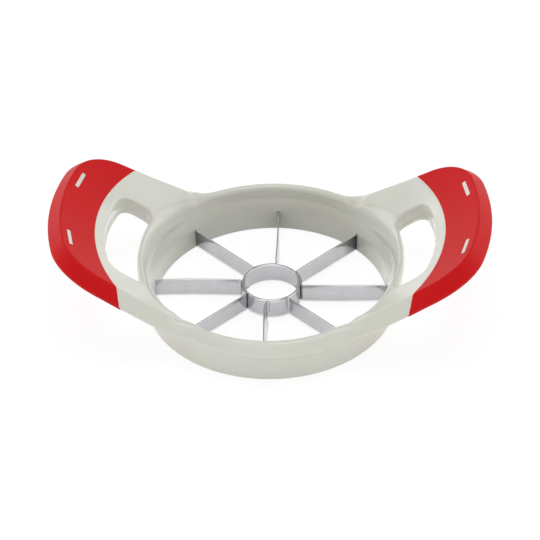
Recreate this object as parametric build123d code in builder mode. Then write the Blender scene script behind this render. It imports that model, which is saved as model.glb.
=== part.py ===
from build123d import *

import os
from math import asin, cos, degrees, hypot, radians, sin, sqrt, tan

# Apple slicer and corer: a hand tool that is pushed down over an apple.
# Two plastic mouldings clamp a steel core ring and four bent steel strips, and a soft skin covers each handle end.
# Millimetres, +Z up. The origin is the middle of the ring, on the plane that the ring rests on.
# The two handles point along +X and -X, and the object is the same on both sides of the XZ and YZ planes,
# apart from its blades.

# Ring
bore_radius = 49.0  # cutting circle at the table
bore_draft = 0.2  # how much the bore has opened at the seat
seat_height = 9.3  # where the two mouldings meet inside the ring
mouth_flare = 2.3  # how much the bore has opened where it turns upright
mouth_height = 15.5
mouth_round = 6.0  # rounding from the bore to the top of the handles
mouth_stop = 4.0  # degrees that the rounding ends short of the handles' slope
skirt_wall = 3.95  # at the table
skirt_draft = 0.2
skirt_height = 11.0  # where the skirt starts to spread under the rim
skirt_edge = 1.0  # rounding at the table
skirt_spread = 4.1
sleeve_wall = 2.1  # of the upper moulding, at the seat
sleeve_flare = 0.4  # how much the sleeve's outside opens for each millimetre of height

# Rim: a crease runs round the whole frame, and a bevel falls outwards from it
crease_offset = 3.35  # from the bore to the crease on the ring
bevel_width = 5.48
bevel_drop = 4.47

# Handles in plan, measured on the crease
waist_depth = 5.6  # how far the arms' edges lie inside the ring's circle, on the middle plane
arm_taper = 6.5  # degrees
handle_length = 34.4  # from the ring's circle to the handle's end
end_radius = 91.0
corner_radius = 20.3
root_radius = 20.0

# Handles in height: a flat flange turns up into a dish, so that the handles rise like wings
flange_height = 22.2
dish_inset = 11.1  # from the ring's circle in to where the flange starts to turn up
dish_radius = 26.0
handle_slope = 35.7  # degrees
dish_axis_shift = 17.1  # the dish of each handle is round about an axis this far past the middle
frame_thickness = 7.15
parting_depth = 5.0  # thickness of the upper moulding in the handles

# Finger holes
web_width = 7.0  # from the bore to the hole, in the upper moulding
web_ledge = 0.8  # how much wider the lower moulding leaves that web
hole_length = 13.2
hole_width = 49.0
hole_inner_bend = 75.0  # radius of the side next to the ring
hole_outer_bend = 64.0  # radius of the side next to the grip
hole_inner_corner = 3.5
hole_outer_corner = 6.5

# Grips
grip_skin = 1.6
grip_bar = 3.85  # plastic left bare between hole and grip
grip_bend = 69.2  # radius of the grip's edge
grip_tip_angle = 13.6  # degrees, how the edge leans as it runs down the bevel
slit_inset = 3.35  # from the handle's end crease to the middle of a slit
slit_width = 1.4
slit_length = 9.6
slit_angle = 12.9  # degrees, from the handle's middle
slit_corner = 0.5

# Steel
core_radius = 12.45
core_wall = 0.8
core_height = 9.1
core_lift = 0.2  # above the table
blade_count = 8
blade_thickness = 0.5
blade_height = 8.6
blade_lift = 0.4  # above the table
blade_offset = 1.87  # how far each blade runs beside the ring's middle
bend_radius = 0.9
strip_gap = 0.05  # between a strip's tab and the core ring
slot_depth = 1.9
slot_clearance = 0.1

# Worked out
crease_radius = bore_radius + crease_offset
arm_half_width = crease_radius - waist_depth
handle_reach = crease_radius + handle_length
end_centre = handle_reach - end_radius
flat_reach = crease_radius - dish_inset
hole_start = bore_radius + web_width
hole_end = hole_start + hole_length
grip_start = hole_end + grip_bar
grip_centre = grip_start - grip_bend
sleeve_radius = bore_radius + sleeve_wall
bevel_slope = bevel_drop / bevel_width
blade_step = 360 / blade_count
blade_twist = degrees(asin(blade_offset / bore_radius))  # so that the blades end on the eighths of the circle
above_all = flange_height + (handle_reach + bevel_width) * tan(radians(handle_slope))
rim_samples = 72  # points on the crease of one handle
rim_margin = 3.0  # how far the bevel's cutter runs past the bevel on both sides
overlap = 1.0  # how far a solid runs past the face that trims it


def dish_height(x, y):
    """Height of the top surface over a point in plan."""
    reach = hypot(abs(x) + dish_axis_shift, y) - dish_axis_shift
    turned = dish_radius * sin(radians(handle_slope))
    if reach < flat_reach:
        return flange_height
    if reach < flat_reach + turned:
        return flange_height + dish_radius - sqrt(dish_radius**2 - (reach - flat_reach) ** 2)
    rise = dish_radius * (1 - cos(radians(handle_slope)))
    return flange_height + rise + (reach - flat_reach - turned) * tan(radians(handle_slope))


def under_dish(inset):
    """Everything below the top surface, with that surface moved in by inset."""
    level = flange_height - inset
    with BuildPart() as solid:
        with BuildSketch(Plane.XZ):
            with BuildLine():
                flat = Line((-dish_axis_shift, level), (flat_reach, level))
                bend = JernArc(flat @ 1, (1, 0), dish_radius + inset, handle_slope)
                wing = Line(bend @ 1, bend @ 1 + bend % 1 * (handle_reach + above_all))
                Polyline(wing @ 1, ((wing @ 1).X, -above_all), (-dish_axis_shift, -above_all), flat @ 0)
            make_face()
        revolve(axis=Axis((-dish_axis_shift, 0, 0), (0, 0, 1)))
        split(bisect_by=Plane.YZ, keep=Keep.TOP)
        mirror(about=Plane.YZ)
    return solid.part


def plan(grow):
    """Outline of the frame seen from above: its crease, grown outwards by grow."""
    half_width = arm_half_width + grow / cos(radians(arm_taper))
    far = handle_reach + end_radius
    far_half_width = half_width - far * tan(radians(arm_taper))
    with BuildSketch() as outline:
        with BuildLine():
            Polyline((0, half_width), (far, far_half_width), (far, -far_half_width), (0, -half_width), close=True)
        make_face()
        with Locations((end_centre, 0)):
            Circle(end_radius + grow, mode=Mode.INTERSECT)
        fillet(outline.vertices().sort_by(Axis.X)[-2:], corner_radius + grow)
        mirror(about=Plane.YZ)
        Circle(crease_radius + grow)
        on_ring = [v for v in outline.vertices() if abs(Vector(v).length - crease_radius - grow) < 0.001]
        fillet(on_ring, root_radius - grow)
    return outline.sketch


def rim_cutter(inset):
    """Everything above the bevel that falls outwards from the crease, with the bevel moved in by inset."""
    with BuildSketch() as right:
        add(plan(0))
        with Locations((-rim_margin, 0)):
            Rectangle(above_all * 3, above_all * 3, align=(Align.MIN, Align.CENTER), mode=Mode.INTERSECT)
    crease = Wire([edge for edge in right.edges() if edge.center().X > overlap - rim_margin])
    sink = inset * hypot(1, bevel_slope)
    shares = [step / rim_samples for step in range(rim_samples + 1)]
    inner, outer = [], []
    for share in shares:
        point = crease @ share
        outward = (crease % share).rotate(Axis.Z, 90)
        if outward.dot(point) < 0:
            outward = -outward
        level = dish_height(point.X, point.Y) - sink
        for row, distance in ((inner, -rim_margin), (outer, bevel_width + rim_margin)):
            row.append(point + outward * distance + Vector(0, 0, level - distance * bevel_slope))
    # both curves get the same parameters, so that the lines of the surface between them run straight outwards
    edges = [Edge.make_spline(row, parameters=shares) for row in (inner, outer)]
    bevel = Face.make_surface_from_curves(*edges)
    with BuildPart() as solid:
        extrude(bevel, amount=above_all, dir=(0, 0, 1))
        split(bisect_by=Plane.YZ, keep=Keep.TOP)
        mirror(about=Plane.YZ)
    return solid.part


def wing_body(inset):
    """The flange and both handles in one, with every face moved in by inset."""
    with BuildPart() as solid:
        with BuildSketch():
            add(plan(bevel_width - inset))
        extrude(amount=above_all)
        add(under_dish(inset), mode=Mode.INTERSECT)
        add(under_dish(frame_thickness - inset), mode=Mode.SUBTRACT)
        add(rim_cutter(inset), mode=Mode.SUBTRACT)
    return solid.part


def turned_solid(*points):
    """A solid of revolution about Z, from the corners of its half section."""
    with BuildPart() as solid:
        with BuildSketch(Plane.XZ):
            with BuildLine():
                Polyline(*points, close=True)
            make_face()
        revolve(axis=Axis.Z)
    return solid.part


def bore():
    """The hole through the ring: nearly straight at the blades, then flared, then rounded over at its mouth."""
    mouth_radius = bore_radius + mouth_flare
    centre_reach = mouth_radius + mouth_round
    wing_level = dish_height(centre_reach, 0)
    round_start = wing_level - mouth_round / cos(radians(handle_slope))
    with BuildPart() as solid:
        with BuildSketch(Plane.XZ):
            with BuildLine():
                wall = Polyline(
                    (bore_radius, -overlap),
                    (bore_radius, 0),
                    (bore_radius + bore_draft, seat_height),
                    (mouth_radius, mouth_height),
                    (mouth_radius, round_start),
                )
                lip = JernArc(wall @ 1, (0, 1), mouth_round, handle_slope + mouth_stop - 90)
                Polyline(lip @ 1, ((lip @ 1).X, above_all), (0, above_all), (0, -overlap), wall @ 0)
            make_face()
        revolve(axis=Axis.Z)
    return solid.part


def finger_hole(start):
    """The right handle's finger hole. Start is where its side next to the ring crosses the middle."""
    with BuildPart() as solid:
        with BuildSketch():
            with Locations((hole_end - hole_outer_bend, 0)):
                Circle(hole_outer_bend)
            with Locations((start, 0)):
                Rectangle(above_all, hole_width, align=(Align.CENTER, Align.CENTER), mode=Mode.INTERSECT)
            with Locations((start - hole_inner_bend, 0)):
                Circle(hole_inner_bend, mode=Mode.SUBTRACT)
            corners = vertices().sort_by(Axis.X)
            fillet(corners[-2:], hole_outer_corner)
            fillet(vertices().sort_by(Axis.X)[:2], hole_inner_corner)
        extrude(amount=above_all)
    return solid.part


def grip_region():
    """The right handle's end in plan, from the grip's edge outwards."""
    lean = tan(radians(arm_taper))
    square = 1 + lean**2
    middle = (grip_centre + lean * arm_half_width) / square
    spread = sqrt(middle**2 - (grip_centre**2 + arm_half_width**2 - grip_bend**2) / square)
    corner_x = middle + spread
    corner_y = arm_half_width - lean * corner_x
    tip_run = 3 * bevel_width
    tip_x = corner_x - tip_run * tan(radians(grip_tip_angle))
    tip_y = corner_y + tip_run
    with BuildPart() as solid:
        with BuildSketch():
            with BuildLine():
                ThreePointArc((corner_x, -corner_y), (grip_start, 0), (corner_x, corner_y))
                Polyline(
                    (corner_x, corner_y),
                    (tip_x, tip_y),
                    (2 * handle_reach, tip_y),
                    (2 * handle_reach, -tip_y),
                    (tip_x, -tip_y),
                    (corner_x, -corner_y),
                )
            make_face()
        extrude(amount=above_all)
    return solid.part


def slit_windows():
    """The two slots through the top of the right grip."""
    with BuildPart() as solid:
        with BuildSketch():
            with Locations((end_centre, 0)):
                with PolarLocations(end_radius - slit_inset, 2, start_angle=-slit_angle, angular_range=4 * slit_angle):
                    RectangleRounded(slit_width, slit_length, slit_corner)
        extrude(amount=above_all)
        add(under_dish(frame_thickness / 2), mode=Mode.SUBTRACT)
    return solid.part


def blade_direction(index):
    """Unit vector along a blade, and the unit vector that its offset points along."""
    angle = radians(index * blade_step + blade_twist)
    return Vector(cos(angle), sin(angle)), Vector(sin(angle), -cos(angle))


def strip_profile():
    """Plan of the strip that makes blades 0 and 1: two legs and the tab between them."""
    tab_radius = core_radius + strip_gap + blade_thickness / 2
    feet, tips = [], []
    for index in (0, 1):
        along, aside = blade_direction(index)
        feet.append(along * sqrt(tab_radius**2 - blade_offset**2) + aside * blade_offset)
        tips.append(along * sqrt((bore_radius + slot_depth) ** 2 - blade_offset**2) + aside * blade_offset)
    with BuildLine() as middle:
        Line(tips[0], feet[0])
        RadiusArc(feet[0], feet[1], -tab_radius)
        Line(feet[1], tips[1])
        fillet(middle.vertices().sort_by_distance((0, 0))[:2], bend_radius)
    return middle.line


# Steel: the core ring and the four strips
with BuildPart() as core_ring:
    with BuildSketch(Plane.XY.offset(core_lift)):
        Circle(core_radius)
        Circle(core_radius - core_wall, mode=Mode.SUBTRACT)
    extrude(amount=core_height)

strip_line = strip_profile()
strips = []
for number in range(blade_count // 2):
    turn = number * 2 * blade_step
    with BuildPart() as strip:
        with BuildSketch(Plane.XY.offset(blade_lift).rotated((0, 0, turn))):
            trace(strip_line, blade_thickness)
        extrude(amount=blade_height)
    strip.part.label = f"blade_strip_{number + 1}"
    strips.append(strip.part)

# Grips: the skin of each handle end, with its slits
with BuildPart() as right_grip:
    add(wing_body(0))
    add(grip_region(), mode=Mode.INTERSECT)
    add(wing_body(grip_skin), mode=Mode.SUBTRACT)
    add(slit_windows(), mode=Mode.SUBTRACT)

with BuildPart() as left_grip:
    add(mirror(right_grip.part, about=Plane.YZ, mode=Mode.PRIVATE))

# Both mouldings in one, before they are parted
skirt_radius = bore_radius + skirt_wall
with BuildPart() as skirt:
    add(
        turned_solid(
            (bore_radius - overlap, 0),
            (skirt_radius, 0),
            (skirt_radius + skirt_draft, skirt_height),
            (skirt_radius + skirt_spread, skirt_height + skirt_spread - skirt_draft),
            (skirt_radius + skirt_spread, above_all),
            (bore_radius - overlap, above_all),
        )
    )
    add(under_dish(parting_depth), mode=Mode.INTERSECT)
    fillet(skirt.edges().group_by(Axis.Z)[0].sort_by(SortBy.RADIUS)[-1], skirt_edge)

with BuildPart() as frame:
    add(wing_body(0))
    add(skirt.part)
    add(bore(), mode=Mode.SUBTRACT)
    lower_hole = finger_hole(hole_start + web_ledge)
    add([lower_hole, mirror(lower_hole, about=Plane.YZ, mode=Mode.PRIVATE)], mode=Mode.SUBTRACT)
    add([right_grip.part, left_grip.part], mode=Mode.SUBTRACT)

# Below the parting surface: under the handles' upper skin, and outside the sleeve that reaches down the bore
sleeve_top = sleeve_radius + (above_all - seat_height) * sleeve_flare
with BuildPart() as below_parting:
    add(under_dish(parting_depth))
    add(
        turned_solid((0, seat_height), (sleeve_radius, seat_height), (sleeve_top, above_all), (0, above_all)),
        mode=Mode.SUBTRACT,
    )

with BuildPart() as upper_frame:
    add(frame.part)
    add(below_parting.part, mode=Mode.SUBTRACT)
    upper_hole = finger_hole(hole_start)
    add([upper_hole, mirror(upper_hole, about=Plane.YZ, mode=Mode.PRIVATE)], mode=Mode.SUBTRACT)

with BuildPart() as lower_frame:
    add(frame.part)
    add(below_parting.part, mode=Mode.INTERSECT)
    # one slot for each blade end, open at the top so that the blades drop in
    for index in range(blade_count):
        along, aside = blade_direction(index)
        slot_middle = along * bore_radius + aside * blade_offset + Vector(0, 0, blade_lift)
        with Locations(Plane(origin=slot_middle, x_dir=along, z_dir=(0, 0, 1))):
            Box(
                2 * slot_depth + 2 * slot_clearance,
                blade_thickness + 2 * slot_clearance,
                seat_height - blade_lift,
                align=(Align.CENTER, Align.CENTER, Align.MIN),
                mode=Mode.SUBTRACT,
            )

upper_frame.part.label = "upper_frame"
lower_frame.part.label = "lower_frame"
core_ring.part.label = "core_ring"
left_grip.part.label = "left_grip"
right_grip.part.label = "right_grip"

os.makedirs("parts", exist_ok=True)
for piece in [upper_frame.part, lower_frame.part, core_ring.part, left_grip.part, right_grip.part, *strips]:
    export_step(piece, f"parts/{piece.label}.step")
    print(piece.label, len(piece.solids()), round(piece.volume, 1), piece.bounding_box().size)
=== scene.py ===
# %% [markdown]
# # Apple slicer and corer
#
# A ring with eight blades is pushed down over an apple by two raised handles. The real object has nine
# pieces: two off-white mouldings, a steel core ring, four bent steel strips and two soft red grips. This
# lesson dresses each of them. We start with the packed model, which fixes where everything is, and keep
# its box, which gives the tool's overall sizes.

# %% Load the frame
import math

import bmesh
import bpy
import numpy as np
from mathutils import Matrix, Vector
from mathutils.geometry import delaunay_2d_cdt


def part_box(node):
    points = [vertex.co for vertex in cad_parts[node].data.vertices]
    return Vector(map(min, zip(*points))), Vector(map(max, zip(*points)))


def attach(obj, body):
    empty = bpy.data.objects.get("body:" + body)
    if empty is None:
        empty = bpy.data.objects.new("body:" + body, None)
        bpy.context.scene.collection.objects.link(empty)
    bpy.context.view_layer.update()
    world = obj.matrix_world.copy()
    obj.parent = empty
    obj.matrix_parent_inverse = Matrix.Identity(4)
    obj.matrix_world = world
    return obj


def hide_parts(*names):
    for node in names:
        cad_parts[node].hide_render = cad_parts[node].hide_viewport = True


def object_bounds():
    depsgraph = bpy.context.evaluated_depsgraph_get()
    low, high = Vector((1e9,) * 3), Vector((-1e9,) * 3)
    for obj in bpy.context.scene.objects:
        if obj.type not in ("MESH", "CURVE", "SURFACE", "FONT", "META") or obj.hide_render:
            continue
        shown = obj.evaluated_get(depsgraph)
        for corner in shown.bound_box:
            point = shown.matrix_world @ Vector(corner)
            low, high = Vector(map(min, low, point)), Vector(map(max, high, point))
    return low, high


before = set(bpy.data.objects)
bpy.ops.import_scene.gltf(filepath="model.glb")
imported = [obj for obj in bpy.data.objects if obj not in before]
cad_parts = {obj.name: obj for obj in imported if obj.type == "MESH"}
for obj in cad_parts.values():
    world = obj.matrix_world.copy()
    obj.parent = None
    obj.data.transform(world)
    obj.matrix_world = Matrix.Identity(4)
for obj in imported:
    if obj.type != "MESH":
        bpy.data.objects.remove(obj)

cad_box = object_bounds()
print("nodes:", ", ".join(sorted(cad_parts)))
print("box in mm:", [round(1000 * size, 1) for size in cad_box[1] - cad_box[0]])

# %% [markdown]
# ## Sizes
#
# We think in millimetres, as a toolmaker would, and turn them into metres only when a mesh is written.
# What the packed model can tell is read from it. The rest are the radii and depths that a drawing of the
# mouldings gives.

# %% Sizes of the mouldings
MM = 0.001
half_length = 1000 * cad_box[1].x
half_depth = 1000 * cad_box[1].y
core_radius = 1000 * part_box("core_ring")[1].x
core_bottom, core_top = (1000 * corner.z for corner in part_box("core_ring"))
blade_bottom, blade_top = (1000 * corner.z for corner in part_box("blade_strip_1"))

bevel_width = 5.48  # from the crease out to the rim
bevel_slope = 0.816  # how far the bevel falls for each millimetre outwards
crease_radius = half_depth - bevel_width
crease_reach = half_length - bevel_width
bore_radius = 49.0  # at the table
seat_radius = 49.2  # where the two mouldings meet in the bore
seat_height = 9.3
mouth_radius = 51.3  # where the bore turns over into the top
mouth_height = 15.5
skirt_radius = 52.95  # outside, at the table
skirt_top_radius = 53.15
skirt_height = 11.0
deck_depth = 7.15  # thickness of the handles
parting_depth = 5.0  # thickness of the upper moulding in the handles
print(f"crease: radius {crease_radius:.2f} on the ring, reach {crease_reach:.2f} on the handles")

# %% [markdown]
# ## A small language for node trees
#
# Both the shape of the handles and the finishes are written as node trees. Adding each Math node by hand
# would bury the idea, so one class wraps a socket and lets us write `a * b + c`. Every operator adds a
# Math node, and the reflected forms make `1 - mask` work too. All other nodes come from one method.

# %% Number and Tree
class Number:
    """A number that flows through a node tree."""

    def __init__(self, tree, socket):
        self.tree = tree
        self.socket = socket

    def maths(self, operation, *others):
        values = {i: value for i, value in enumerate((self, *others))}
        return self.tree.number("ShaderNodeMath", {"operation": operation}, values)

    def __add__(self, other):
        return self.maths("ADD", other)

    def __radd__(self, other):
        return self.maths("ADD", other)

    def __sub__(self, other):
        return self.maths("SUBTRACT", other)

    def __rsub__(self, other):
        return (self * -1).maths("ADD", other)

    def __mul__(self, other):
        return self.maths("MULTIPLY", other)

    def __rmul__(self, other):
        return self.maths("MULTIPLY", other)

    def __truediv__(self, other):
        return self.maths("DIVIDE", other)

    def __pow__(self, other):
        return self.maths("POWER", other)

    def least(self, other):
        return self.maths("MINIMUM", other)

    def most(self, other):
        return self.maths("MAXIMUM", other)

    def root(self):
        return self.maths("SQRT")

    def magnitude(self):
        return self.maths("ABSOLUTE")


class Tree:
    """A node tree that is filled from Python."""

    def __init__(self, nodes):
        self.nodes = nodes

    def node(self, kind, settings=None, values=None):
        made = self.nodes.nodes.new(kind)
        for name, setting in (settings or {}).items():
            setattr(made, name, setting)
        for name, value in (values or {}).items():
            self.feed(made.inputs[name], value)
        return made

    def feed(self, socket, value):
        if isinstance(value, Number):
            value = value.socket
        if isinstance(value, bpy.types.NodeSocket):
            self.nodes.links.new(value, socket)
        else:
            socket.default_value = value

    def number(self, kind, settings=None, values=None, output=0):
        return Number(self, self.node(kind, settings, values).outputs[output])


rules = [name for name, rule in vars(Number).items() if callable(rule) and name != "__init__"]
print("a number knows:", ", ".join(rules))

# %% [markdown]
# ## The rule of the dish
#
# Seen from the side the handles rise like wings. Their top isn't flat: it is part of a dish, round about
# an upright axis that lies past the middle of the ring, one axis for each handle. Close to the ring the
# dish is flat, then it turns up in an arc, then it climbs in a straight cone. The underside and the joint
# between the two mouldings are the same dish, some depth further down.
#
# A shape that follows a rule is a job for Geometry Nodes. The tree below lifts any flat mesh onto the
# dish. Each vertex says in an attribute how deep under the top it wants to lie. Python then asks this one
# tree for every height that it needs.

# %% The dish as a node tree
def dish_tree():
    """The tree that lifts a flat mesh onto the dish."""
    group = bpy.data.node_groups.new("dish", "GeometryNodeTree")
    for name, kind in [("Mesh", "NodeSocketGeometry")] + [(name, "NodeSocketFloat") for name in dish_sizes]:
        group.interface.new_socket(name, in_out="INPUT", socket_type=kind)
    group.interface.new_socket("Material", in_out="INPUT", socket_type="NodeSocketMaterial")
    group.interface.new_socket("Mesh", in_out="OUTPUT", socket_type="NodeSocketGeometry")
    tree = Tree(group)
    start = tree.node("NodeGroupInput")
    level, radius, slope, flat, shift = (Number(tree, start.outputs[name]) for name in dish_sizes)
    position = tree.node("GeometryNodeInputPosition")
    split = tree.node("ShaderNodeSeparateXYZ", values={0: position.outputs[0]})
    x, y = Number(tree, split.outputs[0]), Number(tree, split.outputs[1])
    depth = tree.number("GeometryNodeInputNamedAttribute", {"data_type": "FLOAT"}, {"Name": "depth"})
    big = radius + depth
    run = ((x.magnitude() + shift) ** 2 + y**2).root() - shift - flat
    turned = big * slope.maths("SINE")
    bent = run.most(0).least(turned)
    height = level + radius - (big**2 - bent**2).root() + (run - turned).most(0) * slope.maths("TANGENT")
    place = tree.node("ShaderNodeCombineXYZ", values={0: x, 1: y, 2: height})
    moves = {"Geometry": start.outputs["Mesh"], "Position": place.outputs[0]}
    lifted = tree.node("GeometryNodeSetPosition", values=moves)
    real = tree.node("GeometryNodeRealizeInstances", values={0: lifted.outputs[0]})
    coats = {"Geometry": real.outputs[0], "Material": start.outputs["Material"]}
    dressed = tree.node("GeometryNodeSetMaterial", values=coats)
    tree.node("NodeGroupOutput", values={0: dressed.outputs[0]})
    return group


dish_sizes = {
    "Flange height": 22.2 * MM,
    "Dish radius": 26.0 * MM,
    "Handle slope": math.radians(35.7),
    "Flat reach": (crease_radius - 11.1) * MM,
    "Axis shift": 17.1 * MM,
}
dish_group = dish_tree()
print("dish tree:", len(dish_group.nodes), "nodes")

# %% [markdown]
# A modifier takes its inputs by the socket's identifier. `grown` runs a tree on a mesh and hands back a
# plain mesh, with the modifier gone. `dish` uses it on loose points: millimetres in, heights in
# millimetres out.

# %% Ask the tree for heights
def grown(mesh, group, inputs, name):
    """The plain mesh that a Geometry Nodes tree makes from a mesh."""
    holder = bpy.data.objects.new(name, mesh)
    bpy.context.scene.collection.objects.link(holder)
    modifier = holder.modifiers.new(name, "NODES")
    modifier.node_group = group
    for socket in group.interface.items_tree:
        if socket.item_type == "SOCKET" and socket.in_out == "INPUT" and socket.name in inputs:
            modifier[socket.identifier] = inputs[socket.name]
    result = bpy.data.meshes.new_from_object(holder.evaluated_get(bpy.context.evaluated_depsgraph_get()))
    bpy.data.objects.remove(holder)
    return result


def dish(places, depth=0.0):
    """Height of the dish over each place in plan, at a depth under its top."""
    places = np.asarray(places, float)
    flat = np.zeros((len(places), 3))
    flat[:, :2] = places[:, :2] * MM
    mesh = bpy.data.meshes.new("probe")
    mesh.vertices.add(len(flat))
    mesh.vertices.foreach_set("co", flat.ravel())
    depths = mesh.attributes.new("depth", "FLOAT", "POINT")
    depths.data.foreach_set("value", np.full(len(flat), depth * MM, np.float32))
    lifted = grown(mesh, dish_group, dish_sizes, "probe")
    found = np.zeros(3 * len(flat), np.float32)
    lifted.vertices.foreach_get("co", found)
    bpy.data.meshes.remove(lifted)
    bpy.data.meshes.remove(mesh)
    return found.reshape(-1, 3)[:, 2].astype(float) / MM


print("dish over the middle line at 50, 60, 80 mm:", dish([(50, 0), (60, 0), (80, 0)]).round(2))

# %% [markdown]
# ## Outlines in plan
#
# The frame's outline is a chain of arcs and a line: ring, hollow root, arm, corner and handle end. A
# finger hole is such a chain too. We keep for each point the direction that leads straight out of the
# plastic (or, for a hole, into it). A parallel curve is then just `point + distance * direction`, and the
# whole rim can be built from parallel curves.

# %% Chains of arcs
def circle(turns):
    """Points on a circle of radius 1, at an array of angles in degrees."""
    turns = np.radians(turns)
    return np.column_stack([np.cos(turns), np.sin(turns)])


def unit(turn):
    """The same for a single angle."""
    return np.array([math.cos(math.radians(turn)), math.sin(math.radians(turn))])


def angle_of(vector):
    """The angle of a direction, in degrees."""
    return math.degrees(math.atan2(vector[1], vector[0]))


def stretch(centre, radius, start, stop, fineness):
    """Points on an arc, angles in degrees, and their outward directions. A negative radius: a hollow arc."""
    count = max(2, round(abs(radius * math.radians(stop - start)) / fineness))
    outward = circle(np.linspace(start, stop, count + 1))
    return np.asarray(centre) + radius * outward, outward


def straight(first, last, direction, fineness):
    """Points on a line, all with one outward direction."""
    count = max(1, round(np.linalg.norm(last - first) / fineness))
    shares = np.linspace(0, 1, count + 1)[:, None]
    return first + shares * (last - first), np.tile(direction, (count + 1, 1))


def chain(*stretches):
    """Joins stretches end to end and drops the doubled joints."""
    points = np.vstack([stretches[0][0][:1]] + [part[0][1:] for part in stretches])
    outward = np.vstack([stretches[0][1][:1]] + [part[1][1:] for part in stretches])
    return points, outward


arm_taper = 6.5  # degrees
waist_depth = 5.6  # how far the arms' edges, drawn on to the middle, lie inside the ring's circle
arm_half_width = crease_radius - waist_depth
root_radius = 20.0
corner_radius = 20.3
end_radius = 91.0
end_centre = np.array([crease_reach - end_radius, 0.0])


def crease_quarter(fineness):
    """A quarter of the crease, from the back of the ring round to the right handle's end."""
    out = np.array([math.sin(math.radians(arm_taper)), math.cos(math.radians(arm_taper))])
    along = np.array([out[1], -out[0]])
    edge = arm_half_width * out[1]
    root_run = math.sqrt((crease_radius + root_radius) ** 2 - (edge + root_radius) ** 2)
    root_centre = (edge + root_radius) * out + root_run * along
    inner = (edge - corner_radius) * out - end_centre
    back = inner @ along
    corner_run = math.sqrt(back**2 - inner @ inner + (end_radius - corner_radius) ** 2) - back
    corner_centre = (edge - corner_radius) * out + corner_run * along
    to_root = angle_of(root_centre)
    to_end = angle_of(corner_centre - end_centre)
    return chain(
        stretch((0, 0), crease_radius, 90, to_root, fineness),
        stretch(root_centre, -root_radius, to_root, 90 - arm_taper, fineness),
        straight(root_centre - root_radius * out, corner_centre + corner_radius * out, out, fineness),
        stretch(corner_centre, corner_radius, 90 - arm_taper, to_end, fineness / 2),
        stretch(end_centre, end_radius, to_end, 0, fineness),
    )


def all_round(points, outward):
    """Mirrors a quarter into a closed loop, and its directions with it."""
    quarters = []
    for sign, backwards in (((1, 1), False), ((1, -1), True), ((-1, -1), False), ((-1, 1), True)):
        pair = (points * np.array(sign), outward * np.array(sign))
        quarters.append([part[::-1][:-1] if backwards else part[:-1] for part in pair])
    return [np.vstack([quarter[k] for quarter in quarters]) for k in (0, 1)]


crease, crease_out = all_round(*crease_quarter(0.9))
print("crease:", len(crease), "points")

# %% The finger holes in plan
web_width = 7.0  # from the bore to the hole
hole_length = 13.2
hole_half_width = 24.5
hole_inner_bend = 75.0  # radius of the side next to the ring
hole_outer_bend = 64.0  # radius of the side next to the grip
hole_inner_corner = 3.5
hole_outer_corner = 6.5


def hole_half(fineness):
    """Half of the right finger hole, from its side next to the ring round to the side next to the grip."""
    inner_side = np.array([bore_radius + web_width - hole_inner_bend, 0.0])
    outer_side = np.array([bore_radius + web_width + hole_length - hole_outer_bend, 0.0])
    inner_y = hole_half_width - hole_inner_corner
    outer_y = hole_half_width - hole_outer_corner
    inner_x = inner_side[0] + math.sqrt((hole_inner_bend + hole_inner_corner) ** 2 - inner_y**2)
    outer_x = outer_side[0] + math.sqrt((hole_outer_bend - hole_outer_corner) ** 2 - outer_y**2)
    inner_corner = np.array([inner_x, inner_y])
    outer_corner = np.array([outer_x, outer_y])
    inner_turn = angle_of(inner_corner - inner_side)
    outer_turn = angle_of(outer_corner - outer_side)
    up = np.array([0.0, 1.0])
    inner_top = inner_corner + hole_inner_corner * up
    outer_top = outer_corner + hole_outer_corner * up
    return chain(
        stretch(inner_side, -hole_inner_bend, 180, 180 + inner_turn, fineness),
        stretch(inner_corner, hole_inner_corner, 180 + inner_turn, 90, fineness / 2),
        straight(inner_top, outer_top, up, fineness),
        stretch(outer_corner, hole_outer_corner, 90, outer_turn, fineness / 2),
        stretch(outer_side, hole_outer_bend, outer_turn, 0, fineness),
    )


def both_sides(points, outward):
    """Mirrors half a hole into a closed loop."""
    sign = np.array([1, -1])
    return [np.vstack([half, (half * sign)[::-1][1:-1]]) for half in (points, outward)]


hole, hole_out = both_sides(*hole_half(0.8))
print("finger hole:", len(hole), "points, from", hole[:, 0].min().round(2), "to", hole[:, 0].max().round(2))

# %% [markdown]
# ## The top surface
#
# Every height on the top comes from one function of the place in plan:
#
# * the dish, cut off by the bevel that falls outwards from the crease,
# * rounded over where the bore and the finger holes cut through it, and at the outer edge.
#
# For a rounded edge we let a ball of the wanted radius roll under the surface along the wall. Where the
# ball touches the surface the round begins. It's the same thing that a fillet tool does, only written
# out, and it copes with an edge whose slope changes all the way round. Round the bore the ball is small
# at the front and the back, where the ring has a narrow crest, and large towards the handles, where the
# crest opens into a saddle. Where a large ball would touch the bevel beyond the crease, it cuts the bevel
# too. That cut sets in over a few degrees, because a sudden start would show as a notch.

# %% Distances in plan
def distance_to(chain_points, chain_out, places, at_once=4000):
    """Signed distances of places in the first quarter from a chain, the nearest points and their numbers."""
    distance = np.empty(len(places))
    nearest = np.empty((len(places), 2))
    index = np.empty(len(places), int)
    for first in range(0, len(places), at_once):
        part = places[first : first + at_once]
        across, along = (part[:, None, axis] - chain_points[None, :, axis] for axis in (0, 1))
        found = (across**2 + along**2).argmin(1)
        out = chain_out[found]
        side = ((part - chain_points[found]) * out).sum(1)
        distance[first : first + at_once] = side
        nearest[first : first + at_once] = part - side[:, None] * out
        index[first : first + at_once] = found
    return distance, nearest, index


fine_crease = crease_quarter(0.1)
fine_hole = hole_half(0.1)


def from_crease(places):
    """How far places lie outside the crease, and where the crease is nearest."""
    distance, nearest, _ = distance_to(*fine_crease, np.abs(places))
    return distance, nearest


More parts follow.
